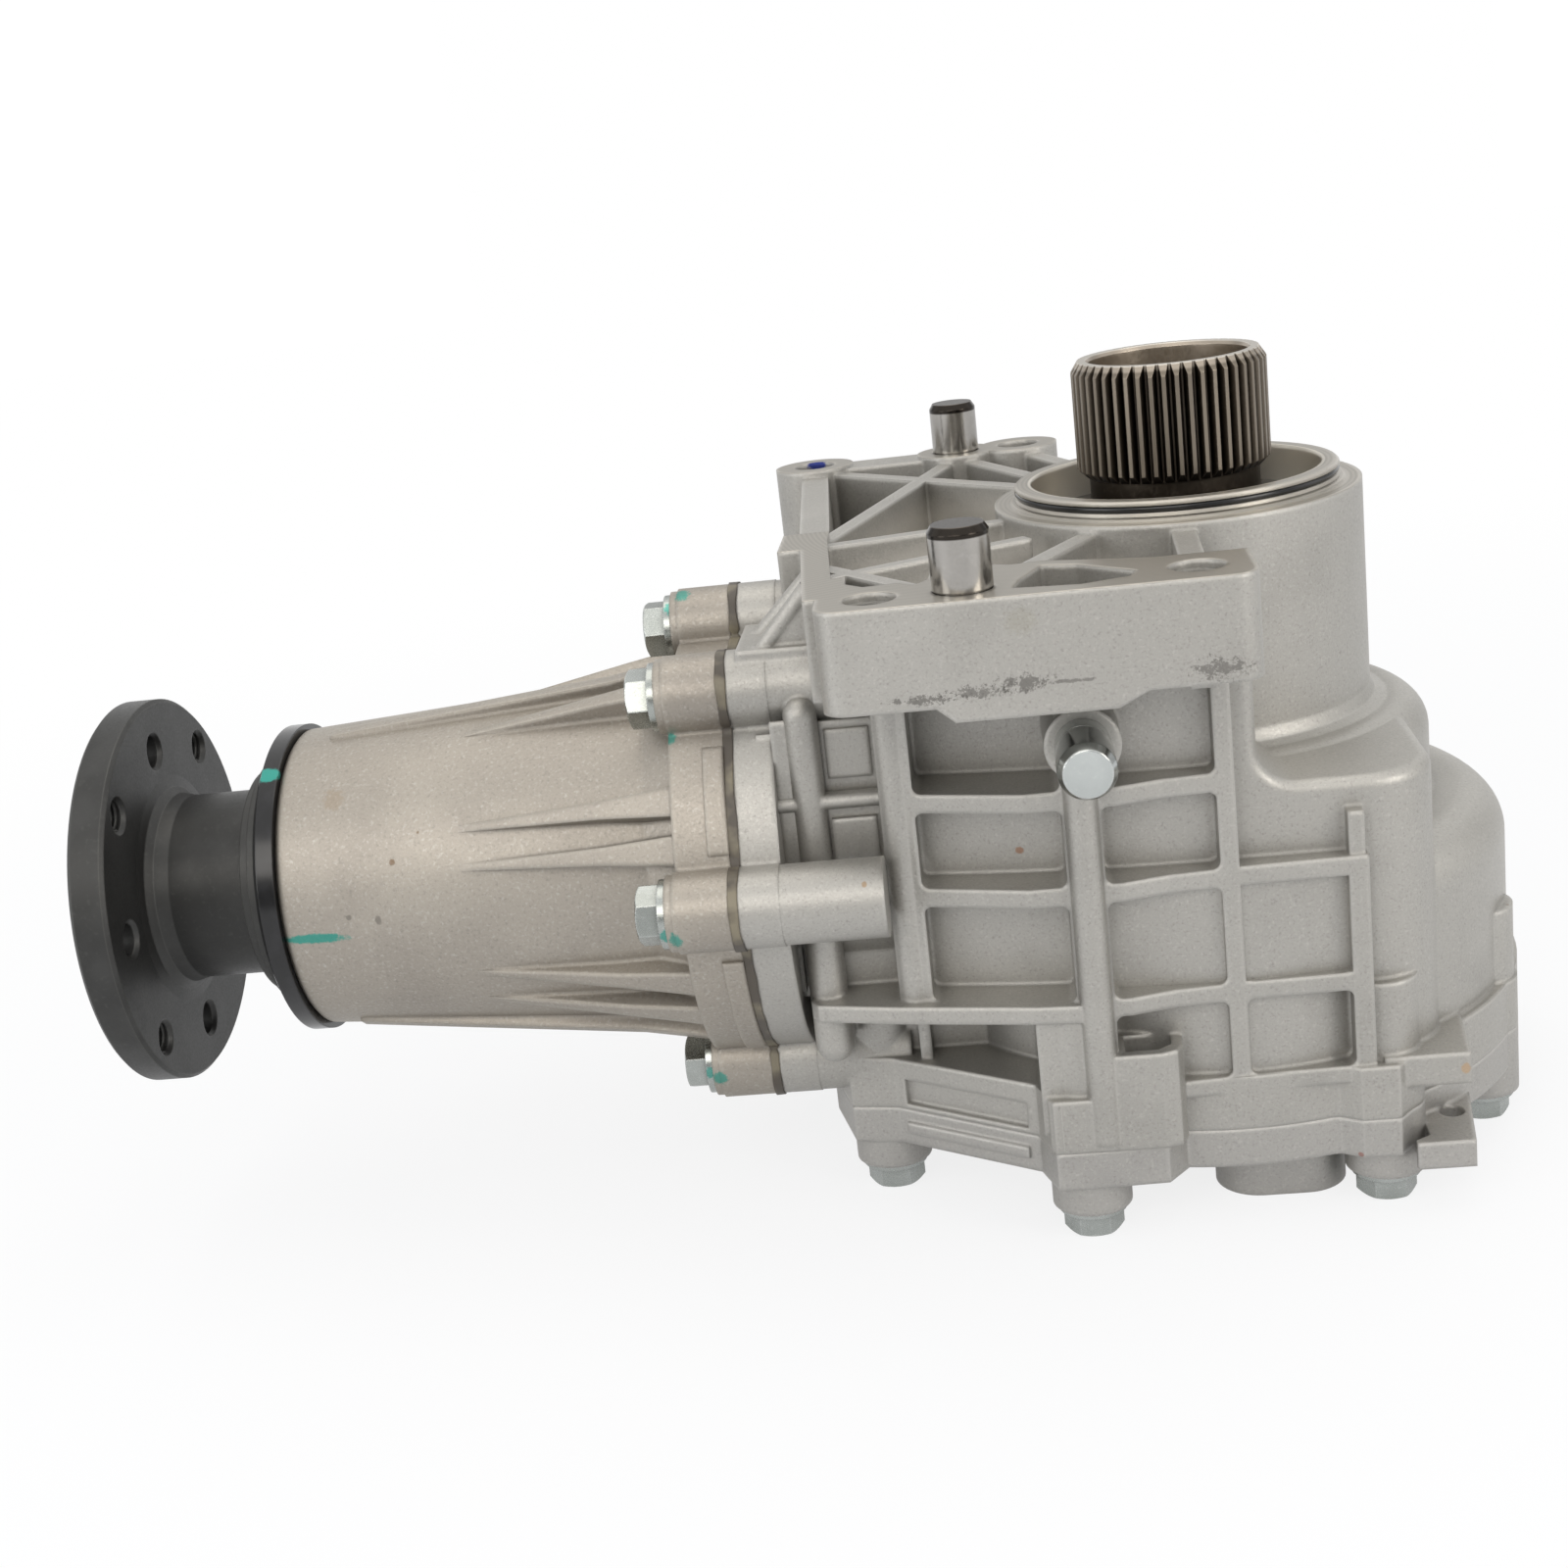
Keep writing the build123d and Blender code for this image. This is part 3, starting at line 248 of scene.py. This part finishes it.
def rubber(name, tones, roughness, blotch_mm=5, daubs=()):
    """Moulded rubber or set sealant: black or brown, smooth, with a soft sheen."""
    material, tree, shader, place = start(name, 0.0, roughness)
    normal = softened(tree, 0.6)[0]
    base = clouded(tree, place, tones[0], blotch_mm, 0.45, 0.62, tones[1])
    if daubs:
        base = daubed(tree, place, base, daubs)
    tree.links.new(base, shader["Base Color"])
    tree.links.new(normal, shader["Normal"])
    return material


# Sand-cast aluminium of the case. The walls of the web's cells are painted paler, a painted light that lifts
# the shade in the cells. Grey smears lie along the foot of the slab's front face, rust specks on the ribs,
# and a dab of blue marking ink on the wall of the back left hole.
case_skin = cast_aluminium(
    "sand_cast_aluminium", ("#b4b2ad", "#aaa8a3", "#a09e99", "#cbc9c4", "#5b5853"), 0.5,
    milled_above_mm=0.0, bored_within_mm=38.3,
    # The web's cells are painted paler, a painted light that lifts their shade.
    daubs=(((-50, 0, -17), (57, 106, 15), "#d2cfc9", 0.7, 0.3),
           ((-66, -109, -21.6), (7, 3, 0.9), SMEAR, 0.6, 8.0),
           ((-55, -109, -20.9), (6, 3, 1.2), SMEAR, 0.55, 8.0),
           ((-44, -109, -19.8), (5, 3, 1.6), SMEAR, 0.6, 8.0),
           ((-34, -109, -20.2), (6, 3, 0.5), SMEAR, 0.5, 4.0),
           ((-1, -109, -20.6), (5, 3, 2.0), SMEAR, 0.55, 8.0),
           ((-44, -109, -5.6), (4, 3, 3.5), "#8a8468", 0.16, 2.0),
           ((-48.7, -73.2, -71.0), (1.2, 4, 1.1), RUST, 0.7, 1.2),
           ((-85.5, -93.6, -69.3), (0.7, 2, 0.7), "#97784f", 0.6, 0.8),
           ((54.2, -80.5, -134.0), (1.3, 3, 1.7), "#bb9a72", 0.6, 1.2),
           ((-101.5, 104.8, -0.8), (3.6, 2.0, 1.8), "#202f7e", 0.95, 1.2)))
# The same casting of the pinion housing, warmer and blasted coarser. Teal paint marks lie beside its bolts
# and near its end, and brown stains and grey rubs on the tube.
housing_skin = cast_aluminium(
    "shot_blasted_aluminium", ("#aba59b", "#9f9990", "#938d85", "#b9b3a9", "#55504a"), 0.6,
    daubs=(((-229, -68.5, -80.8), (10, 6, 1.5), TEAL, 0.85, 1.4),
           ((-130.5, -21.6, -11.0), (2.2, 3, 2.2), TEAL, 0.75, 2.4),
           ((-131.5, -65.6, -37.4), (1.8, 3, 1.8), TEAL, 0.75, 2.4),
           ((-131.8, -95.3, -79.0), (1.8, 3, 2.4), TEAL, 0.75, 2.4),
           ((-132, -55.3, -133.8), (2.2, 3, 2.0), TEAL, 0.75, 2.4),
           ((-221.4, -56.3, -48.0), (3.0, 4, 3.0), "#8f7a5e", 0.28, 2.6),
           ((-205.6, -67.2, -62.5), (0.9, 2, 0.9), "#6b5238", 0.7, 1.2),
           ((-198.5, -66.0, -56.0), (0.6, 2, 0.6), "#6b5238", 0.7, 1.0),
           ((-218.7, -69.0, -75.6), (0.9, 2, 0.8), "#7b766f", 0.8, 1.6),
           ((-211.1, -69.6, -76.8), (1.0, 2, 1.4), "#7b766f", 0.8, 1.6)))
# The cover is cast as the case is, with one rust speck.
cover_skin = cast_aluminium(
    "sand_cast_aluminium_cover", ("#b5b2ae", "#aaa8a4", "#9e9c99", "#cbc9c5", "#595652"), 0.5,
    daubs=(((28.1, -82.5, -154.3), (0.7, 2, 0.7), "#96574a", 0.6, 1.0),))
# Phosphated steel, turned before its coat: near black and dull, its edges painted paler as wear and as a
# painted highlight.
black_flange = steel("phosphated_steel", ("#3c3c3b", "#444443", "#4f4f4d"), 0.44, 0.6, 0.012,
                     edge_mm=0.6, edge_wear_and_highlight_code="#62625f", metallic=0.75)
# Case-hardened steel, broached: dark brown, with its grooves painted darker, a painted shade, and its edges
# painted paler as wear and as a painted highlight; paler tooth tips and bore, bright tooth ends, and an end
# face painted near white, pale cut steel with a painted reflection.
spline_steel = steel("hardened_spline_steel", ("#4a433b", "#575048", "#6a6258"), 0.34, 0.9, 0.008,
                     edge_mm=0.2, edge_wear_and_highlight_code="#8b8378", dirt_and_shade_tone="#1f1b17",
                     bands=(("radius", 23.0, 25.0, "#857c70"), ("radius", 21.9, 21.6, "#9a9083"),
                            # The last band paints the end face near white: pale cut steel with a painted
                            # reflection.
                            ("height", 33.6, 34.2, "#a59b8e"), ("height", 35.1, 35.3, "#d2cdc4")))
# Ground steel of gears, bolts and spacers: mid grey, satin.
gear_steel = steel("ground_gear_steel", ("#6d6a66", "#85827d", "#96938e"), 0.32, 0.8, 0.01)
# Polished bearing steel: pale and nearly a mirror.
bearing_steel = steel("bearing_steel", ("#a5a6a8", "#bcbdbf", "#c8c9ca"), 0.2, 0.8, 0.003)
# Ground dowel steel: a pale mirror, with a dark band painted round its tapered cap, a painted reflection.
dowel_steel = steel("ground_dowel_steel", ("#a19e99", "#aba8a3", "#b9b6b1"), 0.18, 0.8, 0.002,
                    bands=(("height", 12.3, 12.6, "#37332f"), ("height", 14.8, 14.95, "#605a54")))
# Bright zinc plate of the breather: bluish white and shiny, its edges painted paler as wear and as a painted
# highlight.
bright_zinc = steel("bright_zinc_plate", ("#b4b8b6", "#bfc3c1", "#c9ccca"), 0.14, 0.5, 0.002,
                    edge_mm=0.7, edge_wear_and_highlight_code="#d5d7d5")
# Zinc plate of the bolts: greyer, with painted shade under the heads, edges painted paler as wear and as a
# painted highlight, and teal paint marks on them.
zinc = steel("zinc_plated_steel", ("#a3a7a3", "#b2b6b3", "#c2c5c3"), 0.26, 0.5, 0.006,
             edge_mm=0.5, edge_wear_and_highlight_code="#cdcfcd", dirt_and_shade_tone="#4a4a46",
             daubs=(((-133.4, -24.6, -13.8), (2.4, 3, 2.4), TEAL, 0.75, 2.4),
                    ((-136.5, -57.5, -40.5), (4.0, 5, 2.2), TEAL, 0.8, 2.4),
                    ((-134, -95, -78.5), (2.0, 3, 2.4), TEAL, 0.75, 2.4),
                    ((-134.5, -55, -132.5), (2.0, 3, 2.0), TEAL, 0.75, 2.4)))
# Nitrile rubber, moulded: glossy black, with a teal mark on the pinion's seal.
seal_rubber = rubber("nitrile_rubber", ("#101011", "#19191b"), 0.2,
                     daubs=(((-240.5, -49.2, -42.0), (5, 3, 2.0), TEAL, 0.9, 1.2),))
# Sealant, squeezed out and set: brown and uneven.
sealant = rubber("set_sealant", ("#4a443c", "#77705f"), 0.5, blotch_mm=9)

FINISHES = {
    "main_case": case_skin,
    "pinion_housing": housing_skin,
    "case_cover": cover_skin,
    "joint_sealant": sealant,
    "spigot_o_ring": seal_rubber,
    "dowel_pins": dowel_steel,
    "pinion_housing_bolts": zinc,
    "cover_bolts": zinc,
    "input_shaft": spline_steel,
    "ring_gear": gear_steel,
    "ring_gear_bolts": gear_steel,
    "input_oil_seal": seal_rubber,
    "driveshaft_oil_seal": seal_rubber,
    "pinion_oil_seal": seal_rubber,
    "pinion_shaft": gear_steel,
    "companion_flange": black_flange,
    "pinion_nut": zinc,
    "dust_deflector": black_flange,
    "pinion_shim": gear_steel,
    "collapsible_spacer": gear_steel,
    "breather_stem": bright_zinc,
    "breather_cap": bright_zinc,
}

# The nodes that aren't listed are parts of bearings.
for name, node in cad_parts.items():
    finish = FINISHES.get(name, bearing_steel)
    if not node.material_slots:
        node.data.materials.append(finish)
    for socket in node.material_slots:
        socket.material = finish


def finished(name, shape, body, finish):
    """Makes a piece of a bmesh, which rides on a body and takes the finish of a slot."""
    bmesh.ops.recalc_face_normals(shape, faces=shape.faces)
    mesh = bpy.data.meshes.new(name)
    shape.to_mesh(mesh)
    shape.free()
    mesh.materials.append(finish)
    piece = bpy.data.objects.new(name, mesh)
    bpy.context.scene.collection.objects.link(piece)
    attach(piece, body)
    return piece


PINION_Y, PINION_Z = -28, -77.5
PINION_AXIS = Vector((0, PINION_Y, PINION_Z)) * MM
JOINT_X = -117 * MM
# What lies further than this from the pinion axis is the outside of the joint.
RIM_REACH = 50 * MM


def sealant_bead():
    """The sealant squeezed out over both flanges: the CAD ring widened, pushed out and made uneven."""
    shape = bmesh.new()
    shape.from_mesh(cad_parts["joint_sealant"].data)
    bmesh.ops.remove_doubles(shape, verts=shape.verts, dist=0.01 * MM)

    def reach(place):
        return (place - PINION_AXIS).yz.length

    around = [edge for edge in shape.edges
              if edge.calc_length() > 3 * MM and abs(edge.verts[0].co.x - edge.verts[1].co.x) < 0.1 * MM
              and min(reach(vert.co) for vert in edge.verts) > RIM_REACH]
    bmesh.ops.subdivide_edges(shape, edges=around, cuts=3)
    shape.normal_update()
    moves = []
    for vert in shape.verts:
        if reach(vert.co) > RIM_REACH:
            out = Vector((0, vert.normal.y, vert.normal.z)).normalized()
            proud = out * (0.35 + 0.35 * noise.noise(vert.co * 110)) * MM
            moves.append((vert, proud, 1.5 + 0.6 * noise.noise(vert.co * 170)))
    for vert, proud, wide in moves:
        if reach(vert.co + proud) > reach(vert.co):
            vert.co += proud
            vert.co.x = JOINT_X + (vert.co.x - JOINT_X) * wide
    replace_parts(finished("sealant_bead", shape, "housing", sealant), "joint_sealant")


def ridges(name, body, finish, holes, turn, radius_mm, proud_mm, pitch_mm, turns):
    """Screw threads in holes: one ridge a hole, wound up from its start along the hole."""
    shape = bmesh.new()
    half = 0.42 * pitch_mm
    steps_a_turn = 24
    for hole in holes:
        outline = [shape.verts.new(Vector((r, 0, z)) * MM)
                   for r, z in ((radius_mm + 0.1, -half), (radius_mm - proud_mm, 0), (radius_mm + 0.1, half))]
        edges = [shape.edges.new((outline[i], outline[(i + 1) % 3])) for i in range(3)]
        before = set(shape.verts) - set(outline)
        bmesh.ops.spin(shape, geom=outline + edges, cent=(0, 0, 0), axis=(0, 0, 1), angle=2 * math.pi * turns,
                       steps=steps_a_turn * turns, dvec=(0, 0, pitch_mm * MM / steps_a_turn))
        new = [vert for vert in shape.verts if vert not in before]
        bmesh.ops.transform(shape, matrix=Matrix.Translation(Vector(hole) * MM) @ turn, verts=new)
    bmesh.ops.holes_fill(shape, edges=shape.edges)
    finished(name, shape, body, finish)


def flange_pads():
    """Flat raised pads on the rim of the housing's joint flange, between its lobes."""
    left, right, foot, top, bevel = -123.5, -118.1, 54.5, 56.0, 0.4
    section = ((left, foot), (left, top - bevel), (left + bevel, top), (right - bevel, top),
               (right, top - bevel), (right, foot))
    shape = bmesh.new()
    for begin, end in ((194, 236), (268, 284), (137, 165)):
        before = set(shape.verts)
        outline = [shape.verts.new(Vector((x, r, 0)) * MM) for x, r in section]
        edges = [shape.edges.new((outline[i], outline[(i + 1) % 6])) for i in range(6)]
        bmesh.ops.spin(shape, geom=outline + edges, cent=(0, 0, 0), axis=(1, 0, 0),
                       angle=math.radians(end - begin), steps=12)
        new = [vert for vert in shape.verts if vert not in before]
        place = Matrix.Translation(PINION_AXIS) @ Matrix.Rotation(math.radians(begin), 4, "X")
        bmesh.ops.transform(shape, matrix=place, verts=new)
    bmesh.ops.holes_fill(shape, edges=shape.edges)
    finished("joint_flange_pads", shape, "housing", housing_skin)


# Each floor is its front edge's two ends, seen from above, and its lowest and highest level. The first two
# are beside the wide upright rib, the others are by the joint.
CELL_FLOORS = (((-30.5, -79.2), (-0.8, -81.0), -107.5, -80.5),
               ((2.0, -81.0), (28.9, -78.2), -107.5, -80.5),
               ((-106, -71.5), (-98, -71.5), -55, -34),
               ((-106, -71.5), (-98, -71.5), -74, -56),
               ((-95, -67), (-80, -67), -54, -36),
               ((-95, -69), (-80, -69), -74, -57))
FLOOR_DEPTH = 1.5 * MM


def cell_floors():
    """Flat floors of cells of the ribbed side, over the chamber's round shoulder."""
    shape = bmesh.new()
    for (x0, y0), (x1, y1), low, high in CELL_FLOORS:
        corners = [(x0, y0, low), (x1, y1, low), (x1, y1, high), (x0, y0, high)]
        face = shape.faces.new([shape.verts.new(Vector(corner) * MM) for corner in corners])
        deep = bmesh.ops.extrude_face_region(shape, geom=[face])["geom"]
        deep = [vert for vert in deep if isinstance(vert, bmesh.types.BMVert)]
        bmesh.ops.translate(shape, vec=(0, FLOOR_DEPTH, 0), verts=deep)
    finished("cell_floors", shape, "housing", case_skin)


sealant_bead()
flange_pads()
cell_floors()
# Threads in the slab's two holes.
ridges("mounting_hole_threads", "housing", case_skin,
       [(-77, -98, -11.8), (-4, -96, -11.8)], Matrix(), 6.25, 0.25, 1.5, 7)
# Threads in the flange's four tapped holes.
TAPPED_CIRCLE_R = 44
tapped_angles = [math.radians(45 + 90 * i) for i in range(4)]
tapped = [(-286.3, PINION_Y + TAPPED_CIRCLE_R * math.cos(angle), PINION_Z + TAPPED_CIRCLE_R * math.sin(angle))
          for angle in tapped_angles]
ridges("flange_hole_threads", "pinion_rotor", black_flange, tapped,
       Matrix.Rotation(math.radians(90), 4, "Y"), 4.0, 0.6, 1.25, 6)


def photo_camera():
    """The photograph's camera: its place, turn and angle of view, fitted to the object's circles."""
    yaw, pitch, roll = (math.radians(angle) for angle in (-6.49, 17.03, -6.92))
    half_picture, lens = 800, 2226.87
    level = Matrix(((1, 0, 0), (0, 0, -1), (0, 1, 0)))
    tilt = Matrix.Rotation(roll, 3, "Z") @ Matrix.Rotation(pitch, 3, "X")
    turn = tilt @ level @ Matrix.Rotation(yaw, 3, "Z")
    right, down, ahead = (Vector(row) for row in turn)
    data = bpy.data.cameras.new("photo_camera")
    data.angle = 2 * math.atan(half_picture / lens)
    data.clip_start = 0.01
    camera = bpy.data.objects.new("photo_camera", data)
    bpy.context.scene.collection.objects.link(camera)
    axes = Matrix((right, -down, -ahead)).transposed().to_4x4()
    camera.matrix_world = Matrix.Translation((-0.04663, -0.57618, 0.10594)) @ axes
    bpy.context.scene.camera = camera


def softbox(name, place, aim, size, watts, tint):
    """A rectangular lamp at a place, turned to what it lights."""
    data = bpy.data.lights.new(name, "AREA")
    data.shape = "RECTANGLE"
    data.size, data.size_y = size
    data.energy = watts
    data.color = colour(tint)[:3]
    lamp = bpy.data.objects.new(name, data)
    lamp.location = place
    lamp.rotation_euler = (Vector(aim) - Vector(place)).to_track_quat("-Z", "Y").to_euler()
    bpy.context.scene.collection.objects.link(lamp)


def seen_share(tree):
    """The light path, and a share that is 1 for what the camera sees, directly or in metal or glass."""
    rays = put(tree, "LightPath", {})
    first = put(tree, "Math", {0: rays["Is Camera Ray"], 1: rays["Is Glossy Ray"]}, operation="MAXIMUM")[0]
    return rays, put(tree, "Math", {0: first, 1: rays["Is Transmission Ray"]}, operation="MAXIMUM")[0]


def studio_floor():
    """A pale floor at the height that the object rests on. It keeps the shadow, and far out it is white."""
    shape = bmesh.new()
    bmesh.ops.create_grid(shape, x_segments=1, y_segments=1, size=3.0)
    bmesh.ops.translate(shape, vec=(0, 0, cad_box[0].z), verts=shape.verts)
    mesh = bpy.data.meshes.new("studio_floor")
    shape.to_mesh(mesh)
    shape.free()
    floor = bpy.data.objects.new("studio_floor", mesh)
    bpy.context.scene.collection.objects.link(floor)
    material, tree, shader, place = start("white_paper", 0.0, 0.9)
    shader["Base Color"].default_value = colour("#dadce0")
    rays, seen = seen_share(tree)
    reach = put(tree, "VectorMath", {0: place}, operation="LENGTH")["Value"]
    plain = put(tree, "MapRange", {"Value": reach, "From Min": 0.25, "From Max": 0.9,
                                   "To Min": 0.82, "To Max": 1.0}, interpolation_type="SMOOTHSTEP")["Result"]
    mirrored = put(tree, "Math", {0: rays["Is Glossy Ray"], 1: -0.5, 2: 1.0}, operation="MULTIPLY_ADD")[0]
    share = put(tree, "Math", {0: seen, 1: plain}, operation="MULTIPLY")[0]
    share = put(tree, "Math", {0: share, 1: mirrored}, operation="MULTIPLY")[0]
    glow = put(tree, "Emission", {"Color": (1, 1, 1, 1), "Strength": 1.0})[0]
    paper = tree.nodes["Principled BSDF"].outputs[0]
    mixed = put(tree, "MixShader", {0: share, 1: paper, 2: glow})[0]
    tree.links.new(mixed, tree.nodes["Material Output"].inputs["Surface"])
    mesh.materials.append(material)


def studio_world():
    """A white room for metal to show, with dimmer strips around it, and dimmer still at the front. The
    camera sees plain white."""
    world = bpy.data.worlds.new("studio_world")
    bpy.context.scene.world = world
    world.use_nodes = True
    tree = world.node_tree
    rays, seen = seen_share(tree)
    towards = put(tree, "SeparateXYZ", {0: put(tree, "TexCoord", {})["Generated"]})
    back = put(tree, "MapRange", {"Value": towards["Y"], "From Min": -0.97, "From Max": -0.8,
                                  "To Min": 0.35, "To Max": 1.0}, interpolation_type="SMOOTHSTEP")["Result"]
    above = put(tree, "MapRange", {"Value": towards["Z"], "From Min": 0.0, "From Max": 0.7})["Result"]
    around = put(tree, "Math", {0: towards["Y"], 1: towards["X"]}, operation="ARCTAN2")[0]
    around = put(tree, "Math", {0: around, 1: 7.0}, operation="MULTIPLY")[0]
    strips = put(tree, "Math", {0: around}, operation="SINE")[0]
    strips = put(tree, "MapRange", {"Value": strips, "From Min": -0.6, "From Max": 0.2,
                                    "To Min": 0.45, "To Max": 1.0}, interpolation_type="SMOOTHSTEP")["Result"]
    room = put(tree, "Math", {0: back, 1: strips}, operation="MULTIPLY")[0]
    room = put(tree, "Math", {0: room, 1: above}, operation="MAXIMUM")[0]
    plain = put(tree, "MapRange", {"Value": seen, "To Min": 1.0, "To Max": 1.1})["Result"]
    lit = put(tree, "Math", {0: room, 1: plain}, operation="MULTIPLY")[0]
    strength = put(tree, "Math", {0: lit, 1: rays["Is Camera Ray"]}, operation="MAXIMUM")[0]
    background = tree.nodes["Background"]
    background.inputs["Color"].default_value = (1, 1, 1, 1)
    tree.links.new(strength, background.inputs["Strength"])


photo_camera()
studio_floor()
studio_world()
CENTRE = (-0.1, 0, -0.08)
softbox("front_softbox", (-0.35, -1.2, 0.65), CENTRE, (0.9, 0.6), 5.2, "#fffaf3")
softbox("top_softbox", (-0.1, 0.1, 1.1), CENTRE, (0.9, 0.9), 3.0, "#fff8ee")
softbox("left_softbox", (-1.1, -0.6, 0.25), CENTRE, (0.5, 0.5), 2.5, "#ffffff")
softbox("right_softbox", (0.9, -0.7, 0.45), CENTRE, (0.5, 0.5), 5.0, "#fffaf3")
bpy.context.scene.view_settings.view_transform = "Standard"
